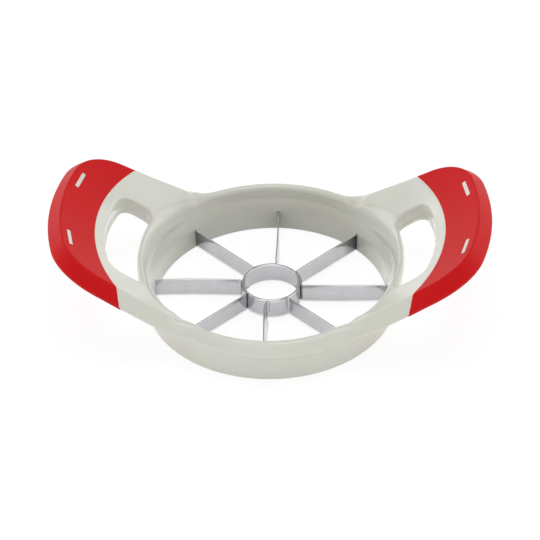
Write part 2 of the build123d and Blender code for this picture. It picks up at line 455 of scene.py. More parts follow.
def smooth_step(value, low, high):
    """0 below the low value, 1 above the high one, and an even curve between."""
    share = np.clip((value - low) / (high - low), 0, 1)
    return share * share * (3 - 2 * share)


crease_blend = 0.7  # height over which deck and bevel run into each other


def roof(places):
    """The top before its edges are rounded: the dish, cut off by the bevel, with a softened crease."""
    out, nearest = from_crease(places)
    deck = dish(places)
    bevel = dish(nearest) - bevel_slope * out
    overlap = np.clip(crease_blend - np.abs(deck - bevel), 0, None)
    return np.minimum(deck, bevel) - overlap**2 / (4 * crease_blend)


print("roof over the crease at the back of the ring:", roof(np.array([(0, crease_radius)])).round(2))

# %% Rolling balls
def ball_rise(radius, inside):
    """How high a ball rises over its centre, at a distance inside the wall that it rolls along."""
    return np.sqrt(np.clip(radius**2 - (inside - radius) ** 2, 0, None))


def rolled(walls, inward, radii, limits, fineness=0.06):
    """For a ball that rolls under the roof along a wall: the height of its centre, and where it touches."""
    limits = np.minimum(2 * radii, limits)
    steps = np.arange(0.02, limits.max(), fineness)
    lines = walls[:, None, :] + steps[None, :, None] * inward[:, None, :]
    heights = roof(lines.reshape(-1, 2)).reshape(len(walls), len(steps))
    room = np.where(steps < limits[:, None], heights - ball_rise(radii[:, None], steps), np.inf)
    return room.min(1), steps[room.argmin(1)]


crest_round = 2.06
saddle_round = 14.0
saddle_end, crest_start = 36, 58  # degrees round the ring, from the handle towards the back
bevel_ease = 6  # degrees
past_bevel = 20.0  # wider than deck and bevel anywhere on the ring

ring_turns = np.arange(0, 90.01, 0.5)
ring_out = circle(ring_turns)
mouth = mouth_radius * ring_out
crest_share = smooth_step(ring_turns, saddle_end, crest_start)
lip_radii = crest_round + (saddle_round - crest_round) * (1 - crest_share)
crease_turns = np.degrees(np.arctan2(*fine_crease[0].T[::-1]))
deck_widths = np.interp(ring_turns, crease_turns[::-1], np.hypot(*fine_crease[0].T)[::-1]) - mouth_radius
deck_centres, deck_touches = rolled(mouth, ring_out, lip_radii, deck_widths)
bevel_centres, bevel_touches = rolled(mouth, ring_out, lip_radii, np.full(len(mouth), past_bevel))
first_turn = ring_turns[np.argmax(bevel_touches > deck_widths)]
bevel_shares = smooth_step(ring_turns, first_turn - 0.5, first_turn + bevel_ease)
lip_centres = deck_centres + bevel_shares * (bevel_centres - deck_centres)
print("crest at the back of the ring:", (lip_centres[-1] + crest_round).round(2), "mm high")
print("the lip cuts the bevel from", first_turn, "degrees on")

web_round = 2.2  # on the side of a finger hole that faces the ring
rim_round = 1.1  # on its other sides
hole_reach = 5.0  # how far from the wall a ball may touch the roof
towards_ring = -fine_hole[1][:, 0]
web_share = smooth_step(towards_ring, 0.2, 0.95)
hole_radii = rim_round + (web_round - rim_round) * web_share
hole_centres, hole_touches = rolled(*fine_hole, hole_radii, hole_reach)

# %% The finished top
edge_round = 0.5  # at the outer edge of the bevel


def edge_drop(outside):
    """How far the rounded outer edge lies under the bevel, at a distance outside the crease."""
    inside = bevel_width - outside
    steep = math.hypot(1, bevel_slope)
    drop = bevel_slope * inside - (edge_round * (bevel_slope - steep) + ball_rise(edge_round, inside))
    return np.where(inside < edge_round * (1 - bevel_slope / steep), drop, 0)


def top(places):
    """Height of the finished top surface over places in plan."""
    places = np.asarray(places, float)
    folded = np.abs(places)
    height = roof(places)
    reach = np.hypot(folded[:, 0], folded[:, 1]) - mouth_radius
    turn = np.degrees(np.arctan2(folded[:, 1], folded[:, 0]))
    profile = (lip_radii, lip_centres, deck_touches, deck_widths, bevel_touches, bevel_shares)
    radius, centre, near, width, far, share = (np.interp(turn, ring_turns, values) for values in profile)
    ridge = share + (1 - share) * (1 - smooth_step(reach, near, np.maximum(width, near + 0.1)))
    ball = centre + ball_rise(radius, np.clip(reach, 0, None))
    lip = np.where(reach < np.maximum(near, far), height - ball, 0).clip(0) * ridge
    inside, _, index = distance_to(*fine_hole, folded)
    ball = hole_centres[index] + ball_rise(hole_radii[index], np.clip(inside, 0, None))
    rim = np.where(inside < hole_touches[index], height - ball, 0).clip(0)
    out, _ = from_crease(places)
    return height - np.cbrt(lip**3 + rim**3) - edge_drop(out)


print("top at the crease of the right handle:", top([(crease_reach, 0)]).round(2))

# %% [markdown]
# ## Where the grips begin
#
# A soft skin is moulded over each handle end. Seen from above its edge is an arc round the finger hole,
# then it leans over the bevel. Near the end's corners two slots in the skin show white ribs of the frame.

# %% Edge of the grips
grip_bar = 3.85  # plastic left bare between hole and grip
grip_bend = 69.2
grip_tip_lean = 13.6  # degrees, how the edge leans as it runs down the bevel
grip_start = bore_radius + web_width + hole_length + grip_bar
grip_middle = np.array([grip_start - grip_bend, 0.0])


def grip_arc(fineness):
    """Edge of the right grip inside the crease, from the front to the back."""
    turns = np.linspace(0, 50, 501)
    out, _ = from_crease(grip_middle + grip_bend * circle(turns))
    last = np.interp(0, out, turns)
    count = round(grip_bend * math.radians(last) / fineness)
    return grip_middle + grip_bend * circle(np.linspace(-last, last, 2 * count + 1))


arc = grip_arc(0.8)
lean = unit(90 + grip_tip_lean)
tips = arc[-1] + np.linspace(0, 2 * bevel_width, 200)[:, None] * lean
tip = np.array([np.interp(bevel_width, from_crease(tips)[0], tips[:, axis]) for axis in (0, 1)])
corners = []
for sign in ((1, 1), (1, -1), (-1, -1), (-1, 1)):
    rim = crease + bevel_width * crease_out
    column = int(np.linalg.norm(rim - tip * sign, axis=1).argmin())
    crease[column] = tip * sign - bevel_width * crease_out[column]
    corners.append(column)
print("the grip's edge leaves the rim at", tip.round(2), "at columns", corners)


def grip_edge(outside, side, shares=(0.2, 0.4, 0.6, 0.8, 1.0)):
    """Edge of one grip from rim to rim, for a surface whose rim lies some distance outside the crease."""
    back, front = (crease[corner] + outside * crease_out[corner] for corner in corners[:2])
    last = [arc[-1] + share * (back - arc[-1]) for share in shares]
    first = [arc[0] + share * (front - arc[0]) for share in shares[::-1]]
    return np.vstack([first, arc, last]) * (side, 1)


def beyond_grip_edge(places):
    """How far places lie beyond the edge of their grip. Negative on the frame."""
    folded = np.abs(places)
    on_arc = np.hypot(*(folded - grip_middle).T) - grip_bend
    on_line = (folded - arc[-1]) @ np.array([lean[1], -lean[0]])
    return np.where(folded[:, 1] < arc[-1, 1], on_arc, on_line)


# %% The slots of the grips
slot_inset = 3.35  # from the handle's end crease to the middle of a slot
slot_size = np.array([1.4, 9.6])
slot_corner = 0.45
slot_turn = 12.9  # degrees, seen from the middle of the handle's end arc
slot_axes = np.array([unit(slot_turn), unit(slot_turn + 90)])


def slot_outline(quarter, grow=0.0, fineness=0.6):
    """Rounded outline of one of the four slots. A quarter is a pair of signs for x and y."""
    half = slot_size / 2 - slot_corner
    bends = []
    for number, sign in enumerate(((1, 1), (-1, 1), (-1, -1), (1, -1))):
        bend, _ = stretch(half * sign, slot_corner + grow, 90 * number, 90 * number + 90, 0.2)
        bends.append(bend)
    outline = []
    for number, bend in enumerate(bends):
        gap = bends[(number + 1) % 4][0] - bend[-1]
        shares = np.linspace(0, 1, max(1, round(np.linalg.norm(gap) / fineness)) + 1)[1:-1, None]
        outline += [bend, bend[-1] + shares * gap]
    middle = end_centre + (end_radius - slot_inset) * unit(slot_turn)
    return (middle + np.vstack(outline) @ slot_axes) * quarter


def across_slot(places):
    """Places measured from the middle of the slot in their quarter: across it and along it."""
    return (np.abs(places) - end_centre) @ slot_axes.T - (end_radius - slot_inset, 0)


quarters = [(1, 1), (1, -1), (-1, -1), (-1, 1)]
print("slots:", len(slot_outline((1, 1))), "points each")

# %% [markdown]
# ## A mesh from a plan
#
# The top, the joint between the mouldings and the underside are sheets over the same plan. Blender's
# Delaunay triangulation takes loops that must stay as edges, and loose points that make the mesh fine
# where the shape bends: rows beside every rim, and an even grid in between. The loops part the plan into
# regions, and each region goes to one piece.

# %% Loose points
def raised(places, height):
    """Places with their height, or any other one value, as a further column."""
    return np.column_stack([places, np.broadcast_to(height, len(places))])


def thinned(fixed, groups, closest):
    """Points of all groups, without those close to a fixed point or to one that is already kept."""
    cells = {}
    result = []
    limit = closest * closest
    for number, group in enumerate([fixed, *groups]):
        for x, y in group.tolist():
            column, row = math.floor(x / closest), math.floor(y / closest)
            near = (
                point
                for i in (column - 1, column, column + 1)
                for j in (row - 1, row, row + 1)
                for point in cells.get((i, j), ())
            )
            if number and any((x - a) ** 2 + (y - b) ** 2 < limit for a, b in near):
                continue
            cells.setdefault((column, row), []).append((x, y))
            if number:
                result.append((x, y))
    return result


def honeycomb(spacing):
    """An even grid of points over the whole plan, with every second row moved on by half a step."""
    across = np.arange(-half_length, half_length, spacing)
    rows = []
    for number, y in enumerate(np.arange(-half_depth, half_depth, spacing * math.sqrt(3) / 2)):
        rows.append(raised((across + spacing / 2 * (number % 2))[:, None], y))
    return np.vstack(rows)


def rows_beside(loop, direction, distances):
    """Copies of a loop, moved sideways by several distances."""
    return np.vstack([loop + distance * direction for distance in distances])


print("an even grid of 1.4 mm:", len(honeycomb(1.4)), "points")

# %% Regions between the loops
def regions_of(loops, loose):
    """Triangulates loops and loose points: all the points, and the triangles of each region between loops."""
    points, edges = [], []
    for loop, closed in loops:
        first, count = len(points), len(loop)
        points += loop.tolist()
        edges += [(first + i, first + (i + 1) % count) for i in range(count if closed else count - 1)]
    points += loose
    found = delaunay_2d_cdt([Vector(p) for p in points], edges, [], 0, 1e-5)
    vertices, borders, triangles, vertex_sources, border_sources, _ = found
    sources = zip(vertices, vertex_sources)
    places = np.array([points[source[0]] if source else tuple(vertex) for vertex, source in sources])
    fixed = {tuple(sorted(pair)) for pair, source in zip(borders, border_sources) if source}
    beside = {}
    for number, triangle in enumerate(triangles):
        for k in range(3):
            beside.setdefault(tuple(sorted((triangle[k], triangle[k - 1]))), []).append(number)
    regions = []
    seen = [False] * len(triangles)
    for seed in range(len(triangles)):
        if seen[seed]:
            continue
        seen[seed] = True
        members, waiting = [], [seed]
        while waiting:
            triangle = triangles[waiting.pop()]
            members.append(triangle)
            for k in range(3):
                pair = tuple(sorted((triangle[k], triangle[k - 1])))
                for other in () if pair in fixed else beside[pair]:
                    if not seen[other]:
                        seen[other] = True
                        waiting.append(other)
        regions.append(np.array(members))
    return places, regions


def owner(places, triangles, rim, ring):
    """Which piece a region of the plan belongs to, or None for the bore, the holes and the outside."""
    spots = places[triangles]
    doubled = np.abs(np.cross(spots[:, 1] - spots[:, 0], spots[:, 2] - spots[:, 0]))  # areas, twice
    middle = spots[doubled.argmax()].mean(0)[None]
    outside = from_crease(middle)[0][0] > rim
    in_hole = distance_to(*fine_hole, np.abs(middle))[0][0] < 0
    if outside or in_hole or np.hypot(*middle[0]) < ring:
        return None
    small = doubled.sum() < 2.2 * slot_size.prod()
    if small and (np.abs(across_slot(middle)[0]) < slot_size / 2).all():
        return "slots"
    if beyond_grip_edge(middle)[0] < 0:
        return "frame"
    return "right_grip" if middle[0, 0] > 0 else "left_grip"


def sheet(loops, groups, closest, rim, ring):
    """The plan's points, and for each piece its triangles."""
    loose = thinned(np.vstack([loop for loop, _ in loops]), groups, closest)
    places, regions = regions_of(loops, loose)
    shares = {}
    for triangles in regions:
        name = owner(places, triangles, rim, ring)
        if name:
            shares.setdefault(name, []).append(triangles)
    return places, {name: np.vstack(parts) for name, parts in shares.items()}


square = np.array([(0.0, 0.0), (4.0, 0.0), (4.0, 4.0), (0.0, 4.0)])
print("a square in a square:", len(regions_of([(square, True), (square / 2 + 1, True)], [])[1]), "regions")

# %% [markdown]
# The bore's points lie at the same angles as the crease's, so that on the narrow crest the mesh between
# the two runs in straight columns and shows no ripples under a glossy finish. The rows stand close
# together where the surface bends sharply, and further apart where it is calm.

# %% The top in plan
crest_columns = int(np.isclose(np.hypot(*crease.T), crease_radius, atol=1e-6)[: len(crease) // 4].sum())
crest_turns = np.degrees(np.arctan2(crease[:crest_columns, 1], crease[:crest_columns, 0]))
turn_step = crest_turns[0] - crest_turns[1]
side_turns = np.linspace(crest_turns[-1], 0, round(crest_turns[-1] / turn_step) + 1)[1:]
quarter_circle = circle(np.concatenate([crest_turns, side_turns]))
ring, _ = all_round(quarter_circle, quarter_circle)
print("ring columns:", len(ring), "of which on the crest:", crest_columns, "a quarter")

holes = [(hole * sign, hole_out * sign) for sign in ((1, 1), (-1, 1))]
top_loops = [(crease + bevel_width * crease_out, True), (mouth_radius * ring, True)]
top_loops += [(loop, True) for loop, _ in holes]
top_loops += [(grip_edge(bevel_width, side), False) for side in (1, -1)]
top_loops += [(slot_outline(quarter), True) for quarter in quarters]

rim_rows = bevel_width - np.array([0.02, 0.06, 0.12, 0.2, 0.3, 0.45, 0.8, 1.5, 2.4, 3.3, 4.0])
crease_rows = np.array([0.9, 0.65, 0.45, 0.28, 0.14, 0, -0.14, -0.28, -0.45, -0.65, -0.9])
near_lip_rows = np.array([0.01, 0.04, 0.09, 0.17, 0.28])
far_lip_rows = np.array([0.42, 0.6, 0.82, 1.1, 1.45, 1.9, 2.4, 3.0, 3.7, 4.5, 5.4, 6.4, 7.5, 8.7])
hole_rows = np.array([0.01, 0.04, 0.1, 0.18, 0.3, 0.45, 0.65, 0.9, 1.25, 1.7, 2.3])
slot_rows = (0.06, 0.15, 0.3, 0.6)
grip_rows = (-0.1, 0.1, -0.25, 0.25, -0.5, 0.5)
top_spacing = 1.4  # of the even grid
top_closest = 0.035  # a loose point nearer than this to another one is left out
groups = [
    rows_beside(mouth_radius * ring, ring, near_lip_rows),
    rows_beside(crease, crease_out, rim_rows),
    *[rows_beside(loop, out, hole_rows) for loop, out in holes],
    rows_beside(crease, crease_out, crease_rows),
    rows_beside(mouth_radius * ring, ring, far_lip_rows),
    *[slot_outline(quarter, grow) for quarter in quarters for grow in slot_rows],
]
for side in (1, -1):
    for row in grip_rows:
        moved = grip_middle * (side, 1) + (grip_bend + row) * (arc - grip_middle) / grip_bend * (side, 1)
        groups.append(moved)
groups.append(honeycomb(top_spacing))
top_places, top_parts = sheet(top_loops, groups, top_closest, bevel_width, mouth_radius)
print("top:", len(top_places), "points;", {name: len(part) for name, part in top_parts.items()})

# %% [markdown]
# ## Heights of the finished faces
#
# Where the grip meets the frame both bend down a little, which leaves a fine groove. The slots have
# softened edges too. The two mouldings meet on a surface five millimetres under the top, which follows
# the bevel down at the rim, so that the joint comes out below the outer edge.

# %% Finished heights
groove_depth = 0.1
groove_reach = 0.35
slot_round = 0.15
joint_under_bevel = 1.18


def from_slot(places):
    """Signed distance from the nearest slot's outline, positive outside the slot."""
    gap = np.abs(across_slot(places)) - (slot_size / 2 - slot_corner)
    return np.linalg.norm(gap.clip(0), axis=1) + gap.max(1).clip(max=0) - slot_corner


def finished_top(places):
    """Top of the frame and the grips, with the groove between them and the softened slots."""
    near = np.clip(1 - np.abs(beyond_grip_edge(places)) / groove_reach, 0, 1)
    beside = slot_round - np.clip(from_slot(places), 0, slot_round)
    return top(places) - groove_depth * near**2 - (slot_round - np.sqrt(slot_round**2 - beside**2))


def joint(places):
    """Surface where the upper and the lower moulding meet."""
    out, nearest = from_crease(places)
    return np.minimum(dish(places, parting_depth), dish(nearest) - bevel_slope * out - joint_under_bevel)


def underside(places):
    """Underside of the handles."""
    return dish(places, deck_depth)


print("joint under the back of the ring:", joint(np.array([[0, crease_radius]])).round(2))

# %% [markdown]
# ## Bands and shells
#
# A band joins rows of points with four-sided faces: the walls of the bore, the holes and the rim. A shell
# is made of sheets and bands that share their border points. Merging doubles joins them, open borders
# that are left deep inside the joint are filled, and Blender then turns all faces outwards. Edges that
# are sharper than an angle stay sharp when the faces are shaded smooth.

# %% Bands and shells
merge_reach = 0.002  # border points nearer than this become one
shortest_edge = 0.001


def band(rows, closed=True):
    """Four-sided faces between rows of points."""
    count = len(rows[0])
    faces = []
    for r in range(len(rows) - 1):
        for i in range(count if closed else count - 1):
            j = (i + 1) % count
            faces.append((r * count + i, r * count + j, (r + 1) * count + j, (r + 1) * count + i))
    return np.vstack(rows), faces


def flat_sheet(places, triangles, height):
    """A sheet over the plan at the height that a rule gives."""
    used, numbers = np.unique(triangles, return_inverse=True)
    return raised(places[used], height(places[used])), numbers.reshape(-1, 3).tolist()


def finished(work, name, sharp_angle=38):
    """A smooth piece from a closed bmesh, with its faces turned outwards."""
    bmesh.ops.recalc_face_normals(work, faces=work.faces)
    for face in work.faces:
        face.smooth = True
    faulty = sum(not edge.is_manifold for edge in work.edges)
    print(f"{name}: {len(work.faces)} faces, {faulty} faulty, {work.calc_volume() / MM**3:.0f} cubic mm")
    mesh = bpy.data.meshes.new(name)
    work.to_mesh(mesh)
    work.free()
    mesh.set_sharp_from_angle(angle=math.radians(sharp_angle))
    piece = bpy.data.objects.new(name, mesh)
    bpy.context.scene.collection.objects.link(piece)
    return piece


def shell(name, parts):
    """A closed piece from sheets and bands, given in millimetres."""
    work = bmesh.new()
    for points, faces in parts:
        vertices = [work.verts.new(point) for point in (points * MM).tolist()]
        for face in faces:
            work.faces.new([vertices[i] for i in face])
    bmesh.ops.remove_doubles(work, verts=work.verts, dist=merge_reach * MM)
    bmesh.ops.dissolve_degenerate(work, edges=work.edges, dist=shortest_edge * MM)
    open_edges = [edge for edge in work.edges if edge.is_boundary]
    print(f"{name}: {len(open_edges)} open edges to fill")
    bmesh.ops.holes_fill(work, edges=open_edges, sides=0)
    bmesh.ops.triangulate(work, faces=[face for face in work.faces if len(face.verts) > 4])
    return finished(work, name)


tower = band([raised(square, height) for height in (0, 1, 2)])
print("a band of 3 rows and 4 columns:", len(tower[1]), "faces")

# %% [markdown]
# ## The rim
#
# Below its sharp outer line the white rim drops by half a millimetre to the joint. The lower moulding
# starts a little further in and rounds under the handle. On the grips one skin goes all the way round.

# %% Rows of the rim
total = len(crease)
frame_columns = [np.arange(corners[3], total + corners[0] + 1) % total, np.arange(corners[1], corners[2] + 1)]
grip_columns = {
    "right_grip": np.arange(corners[0], corners[1] + 1),
    "left_grip": np.arange(corners[2], corners[3] + 1),
}
crease_height = dish(crease)
joint_rim = 4.95  # where the joint comes out, outside the crease
under_rim = 2.75  # where the rounding has reached the underside
rim_line = joint_under_bevel + joint_rim * bevel_slope


def rim_row(columns, outside, height):
    """One row of the rim: how far outside the crease, and at what height."""
    places = crease[columns] + outside * crease_out[columns]
    return raised(places, height(places) if callable(height) else crease_height[columns] + height)


def rounded_under(columns, outside, height, steps=8):
    """Rows of a quarter of an ellipse, from a point on the rim down and in to the underside."""
    last = rim_row(columns, under_rim, underside)
    rows = []
    for turn in np.radians(np.linspace(0, 90, steps + 1)):
        row = rim_row(columns, under_rim + (outside - under_rim) * math.cos(turn), height)
        row[:, 2] += (last[:, 2] - row[:, 2]) * math.sin(turn)
        rows.append(row)
    return rows


def upper_rim(columns):
    """Edge of the upper moulding, with a small rounding down at the joint."""
    rows = [rim_row(columns, bevel_width, finished_top)]
    for inwards, over_joint in ((0, 0.26), (0.05, 0.1), (0.18, 0)):
        rows.append(rim_row(columns, bevel_width - inwards, over_joint - rim_line))
    return band([*rows, rim_row(columns, joint_rim, joint)], closed=False)


def lower_rim(columns):
    """Edge of the lower moulding, from the joint round to the underside."""
    first = rim_row(columns, joint_rim, joint)
    return band([first, *rounded_under(columns, joint_rim, -rim_line)[1:]], closed=False)


def grip_rim(columns):
    """Edge of a grip, which goes round in one."""
    rows = [rim_row(columns, bevel_width, finished_top), *rounded_under(columns, bevel_width, -rim_line)]
    return band(rows, closed=False)


def grip_face(upper, lower, side):
    """The face in which frame and grip meet, below the arc of the grip's edge."""
    places = arc * (side, 1)
    return band([raised(places, upper(places)), raised(places, lower(places))], closed=False)


print("rim columns of the frame:", [len(columns) for columns in frame_columns])

# %% [markdown]
# ## The upper moulding
#
# It carries the top, the sleeve that reaches down into the bore as far as the blades, and the upper part
# of the finger holes' walls. The sleeve widens towards its mouth, first hardly and then more: on a shiny
# wall a sudden change of slope would show as a hard line.

# %% Build the upper moulding
sleeve_radius = 51.1  # outside of the sleeve, at the seat
sleeve_root = 54.26  # where the sleeve's outside meets the joint
hole_edge = 0.2  # rounding of both mouldings at the joint, inside the finger holes
joint_spacing = 2.4
joint_closest = 0.5
lip_wall = 0.4  # plain wall under the lip, at least
flare_bend = 1.35  # over 1, so that the sleeve widens slowly at first


def wall_rows(loop, out, edge_rows, height):
    """Rows of a finger hole's wall. Each row is how far into the plastic, and how far above a surface."""
    return [raised(loop + into * out, height(loop + into * out) + above) for into, above in edge_rows]


def joint_sheet(ring_loop):
    """The joint between the mouldings in plan, outside a loop round the ring."""
    loops = [(crease + joint_rim * crease_out, True), (ring_loop, True)]
    loops += [(loop + hole_edge * out, True) for loop, out in holes]
    loops += [(grip_edge(joint_rim, side), False) for side in (1, -1)]
    groups = [rows_beside(crease, crease_out, (4.0, 2.5)), honeycomb(joint_spacing)]
    return sheet(loops, groups, joint_closest, joint_rim, sleeve_root)


upper_places, upper_parts = joint_sheet(sleeve_root * ring)
lip = finished_top(mouth_radius * ring)
flare_top = np.minimum(mouth_height, lip - lip_wall)
sleeve = [raised(mouth_radius * ring, lip)]
for share in np.linspace(1, 0, 11):
    radius = seat_radius + (mouth_radius - seat_radius) * share**flare_bend
    sleeve.append(raised(radius * ring, seat_height + (flare_top - seat_height) * share))
sleeve.append(raised(sleeve_radius * ring, seat_height))
sleeve.append(raised(sleeve_root * ring, joint(sleeve_root * ring)))
parts = [flat_sheet(top_places, top_parts["frame"], finished_top), band(sleeve)]
parts += [flat_sheet(upper_places, upper_parts["frame"], joint)]
parts += [upper_rim(columns) for columns in frame_columns]
for loop, out in holes:
    rows = wall_rows(loop, out, ((0, 0.2), (0.06, 0.06), (hole_edge, 0)), joint)
    parts.append(band([raised(loop, finished_top(loop)), *rows]))
parts += [grip_face(finished_top, joint, side) for side in (1, -1)]

rib_sink = 0.18  # how far the white ribs lie under the red skin
rib_depth = 2.4  # how deep they reach
slot_loops = [slot_outline(quarter) for quarter in quarters]


def rib_floor(places):
    """Where the ribs end inside the grip."""
    return dish(places, rib_depth)


def rib_top(places):
    """Top of the ribs that fill the slots."""
    return top(places) - rib_sink


for loop in slot_loops:
    parts.append(band([raised(loop, rib_top(loop)), raised(loop, rib_floor(loop))]))
parts += [flat_sheet(top_places, top_parts["slots"], height) for height in (rib_top, rib_floor)]
upper_moulding = shell("upper_moulding", parts)

# %% [markdown]
# ## The lower moulding
#
# It is the ring that stands on the table and the underside of the handles. Each blade end sits in a slot
# of the ring. The slots are cut into the wall by moving a few columns of its points outwards.

# %% Columns of the ring
blade_offset = 1.87  # how far each blade runs beside the ring's middle
blade_twist = math.degrees(math.asin(blade_offset / bore_radius))
slot_reach = 51.0  # how far out the slots for the blades go
slot_half = 0.36
slot_floor = 0.4
slot_clear = 0.25  # degrees without other columns beside a slot


def offset_angle(blade, offset, radius):
    """Where a line beside a blade's direction crosses a circle."""
    return 45 * blade + blade_twist - math.degrees(math.asin(offset / radius))


ring_columns = []  # for each the angle on the wall, the angle in the slot and whether it goes into the slot
for blade in range(8):
    first, last = (
        (offset_angle(blade, offset, bore_radius), offset_angle(blade, offset, slot_reach))
        for offset in (blade_offset + slot_half, blade_offset - slot_half)
    )
    ring_columns += [(first[0], first[0], False), (*first, True), (*last, True), (last[0], last[0], False)]
slot_edges = np.array([column[0] for column in ring_columns[1::2]]).reshape(-1, 2)
for angle in np.degrees(np.arctan2(ring[:, 1], ring[:, 0])) % 360:
    turned = (angle - slot_edges + 180) % 360 - 180
    if not ((turned[:, 0] > -slot_clear) & (turned[:, 1] < slot_clear)).any():
        ring_columns.append((angle, angle, False))
ring_columns.sort(key=lambda column: column[0] % 360)
wall_turns, deep_turns, is_deep = (np.array(values) for values in zip(*ring_columns))
wall_ring = circle(wall_turns)
deep_ring = circle(deep_turns)
print("columns of the lower ring:", len(ring_columns), "of which in slots:", is_deep.sum())


def slotted(radius):
    """A circle of the wall with the blades' slots cut into it."""
    return np.where(is_deep[:, None], slot_reach * deep_ring, radius * wall_ring)


def unique(loop):
    """A loop without the doubled points at the slots."""
    return loop[np.linalg.norm(loop - np.roll(loop, 1, axis=0), axis=1) > 1e-6]


# %% Build the lower moulding
under_edge = 0.8  # rounding round the finger holes, at the underside
gusset_radius = 54.9  # where the skirt has spread to under the handles
foot_inner = 0.4
foot_outer = 1.0
quarter_turn = np.radians((0, 22, 45, 67, 90))
under_spacing = 1.8
under_closest = 0.4


def wall_radius(height):
    """Radius of the bore, which opens a trace upwards so that the moulding leaves its mould."""
    return bore_radius + (seat_radius - bore_radius) * height / seat_height


lower_places, lower_parts = joint_sheet(unique(sleeve_root * wall_ring))
under_loops = [(crease + under_rim * crease_out, True), (unique(gusset_radius * wall_ring), True)]
under_loops += [(loop + under_edge * out, True) for loop, out in holes]
under_loops += [(grip_edge(under_rim, side), False) for side in (1, -1)]
groups = [rows_beside(crease, crease_out, (1.8, 0.6)), honeycomb(under_spacing)]
under_places, under_parts = sheet(under_loops, groups, under_closest, under_rim, gusset_radius)

rows = [raised(sleeve_root * wall_ring, joint(sleeve_root * wall_ring))]
rows.append(raised(sleeve_radius * wall_ring, seat_height))
rows += [raised(slotted(wall_radius(height)), height) for height in (seat_height, slot_floor)]
rows.append(raised(wall_radius(slot_floor) * wall_ring, slot_floor))
for turn in np.radians((30, 60, 90)):
    radius = bore_radius + foot_inner * (1 - math.cos(turn))
    rows.append(raised(radius * wall_ring, foot_inner * (1 - math.sin(turn))))
for turn in quarter_turn:
    radius = skirt_radius - foot_outer * (1 - math.sin(turn))
    rows.append(raised(radius * wall_ring, foot_outer * (1 - math.cos(turn))))
rows.append(raised(skirt_top_radius * wall_ring, skirt_height))
rows.append(raised(gusset_radius * wall_ring, skirt_height + gusset_radius - skirt_top_radius))
rows.append(raised(gusset_radius * wall_ring, underside(gusset_radius * wall_ring)))
parts = [band(rows), flat_sheet(lower_places, lower_parts["frame"], joint)]
parts += [flat_sheet(under_places, under_parts["frame"], underside)]
parts += [lower_rim(columns) for columns in frame_columns]
for loop, out in holes:
    rows = wall_rows(loop, out, ((hole_edge, 0), (0.06, -0.06), (0, -0.2)), joint)
    for turn in quarter_turn:
        into, above = under_edge * (1 - math.cos(turn)), under_edge * (1 - math.sin(turn))
        rows.append(raised(loop + into * out, underside(loop + into * out) + above))
    parts.append(band(rows))
parts += [grip_face(joint, underside, side) for side in (1, -1)]
lower_moulding = shell("lower_moulding", parts)

# %% [markdown]
# ## The grips
#
# Each grip is one soft skin round the end of the handle: top, bevel, rim and underside, with two slots.
# Soft plastic of this kind is moulded straight onto the hard frame, so the two fit without a gap.

# %% Build the grips
skins = {}
for name, side in (("right_grip", 1), ("left_grip", -1)):
    parts = [flat_sheet(top_places, top_parts[name], finished_top), grip_rim(grip_columns[name])]
    parts.append(flat_sheet(under_places, under_parts[name], underside))
    parts.append(grip_face(finished_top, underside, side))
    for loop in slot_loops:
        if loop[0, 0] * side > 0:
            parts.append(band([raised(loop, finished_top(loop)), raised(loop, rib_floor(loop))]))
    floors = top_parts["slots"]
    parts.append(flat_sheet(top_places, floors[top_places[floors[:, 0], 0] * side > 0], rib_floor))
    skins[name] = shell(name + "_skin", parts)

# %% [markdown]
# ## The blade strips
#
# Four equal strips of stainless steel are bent so that each makes two blades and the short tab that hugs
# the core ring. A bent strip follows a path, and it repeats, so Geometry Nodes sweep it: the path's curve
# gets a small rectangle with softened corners as its profile, is turned to its place, and becomes a plain
# mesh. Thin strips are never quite true when they are pressed in: a blade leans near the core ring, where
# nothing holds it upright, and bows a little to one side. A tilt on the path's points copies the first
# and moving its points copies the second.

# %% The path of one strip
strip_thickness = 0.5
tab_gap = 0.05
tab_radius = core_radius + tab_gap + strip_thickness / 2
strip_bend = 0.9
tip_gap = 0.1
blade_tip = slot_reach - tip_gap
bend_step, tab_step, blade_step = 0.15, 0.25, 0.75  # between the path's points


def blade_axes(blade):
    """Unit vector along a blade, and the one that its offset points along."""
    along = unit(45 * blade + blade_twist)
    return along, np.array([along[1], -along[0]])


def leg(blade, inner):
    """One blade from the tab outwards, with the bend at its foot. Inner says on which side the tab lies."""
    along, aside = blade_axes(blade)
    centre_offset = blade_offset + inner * strip_bend
    run = math.sqrt((tab_radius + strip_bend) ** 2 - centre_offset**2)
    centre = run * along + centre_offset * aside
    first = angle_of(-centre)
    last = angle_of(-inner * aside)
    last += 360 * round((first - last) / 360)
    bend, _ = stretch(centre, strip_bend, first, last, bend_step)
    foot = centre - inner * strip_bend * aside
    tip_run = math.sqrt(blade_tip**2 - blade_offset**2)
    tip = tip_run * along + blade_offset * aside
    blade_line, _ = straight(foot, tip, aside, blade_step)
    return np.vstack([bend, blade_line[1:]])


first_leg, second_leg = leg(0, -1), leg(1, 1)
turns = angle_of(first_leg[0]), angle_of(second_leg[0])
tab, _ = stretch((0, 0), tab_radius, *turns, tab_step)
strip_path = np.vstack([first_leg[::-1], tab[1:-1], second_leg])
print("strip:", len(strip_path), "points; the tab ends at", np.round(turns, 1), "degrees")

